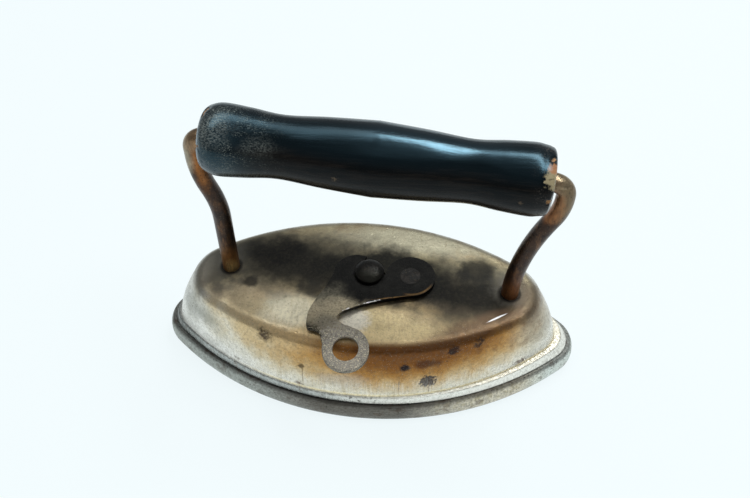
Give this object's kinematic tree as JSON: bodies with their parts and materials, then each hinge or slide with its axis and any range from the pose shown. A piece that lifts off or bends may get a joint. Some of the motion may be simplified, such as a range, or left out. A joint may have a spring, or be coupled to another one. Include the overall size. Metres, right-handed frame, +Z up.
{
  "type": "toy iron",
  "caption": "Boat-shaped toy flat iron: a solid core under a lined hood with a turned wooden grip on a bent rod and a hook latch that turns under a post's head.",
  "frame": {"origin": "On the sole, under the middle of the hood's flat top. The sole's own middle lies 0.9 mm further right", "axes": "+X along the iron from the left point to the right point, +Y across it and away from the finger ring, +Z up from the sole"},
  "size_m": [0.103, 0.0505, 0.0738],
  "materials": {
    "core_iron": "worn cast iron with a faint satin on its ground side",
    "post_steel": "dark steel with brown rust specks",
    "hood_nickel": "old nickel plate, silvery low down, straw and soot stained on top",
    "lining_board": "pale pressed fibre board",
    "tin_plate": "dull tinned sheet",
    "rod_steel": "brown patina with rust at the feet",
    "grip_wood": "black ebonised turned wood, polished, scuffed at the ends",
    "latch_steel": "dark blue-black steel, brown on the arm, grey on the worn ring"
  },
  "bodies": {
    "core": {"core_slug": "core_iron", "core_post": "post_steel"},
    "hood": {"hood_shell": "hood_nickel", "heat_lining": "lining_board", "lining_plate": "tin_plate", "handle_rod": "rod_steel", "rod_washers": "tin_plate", "latch_rivet": "post_steel", "rivet_washer": "tin_plate"},
    "latch": {"latch_plate": "latch_steel"},
    "grip": {"wooden_grip": "grip_wood"}
  },
  "joints": [
    {"name": "hood_lift", "type": "slide", "parent": "core", "child": "hood", "axis": [0, 0, 1], "range_m": [0, 0.03]},
    {"name": "latch_swing", "type": "hinge", "parent": "hood", "child": "latch", "pos_m": [0.0108, 0, 0.0264], "axis": [0, 0, 1], "range_deg": [0, 75]},
    {"name": "grip_spin", "type": "hinge", "parent": "hood", "child": "grip", "pos_m": [0.0025, -0.00009, 0.0644], "axis": [0.9978, -0.0348, -0.0558], "continuous": true}
  ]
}
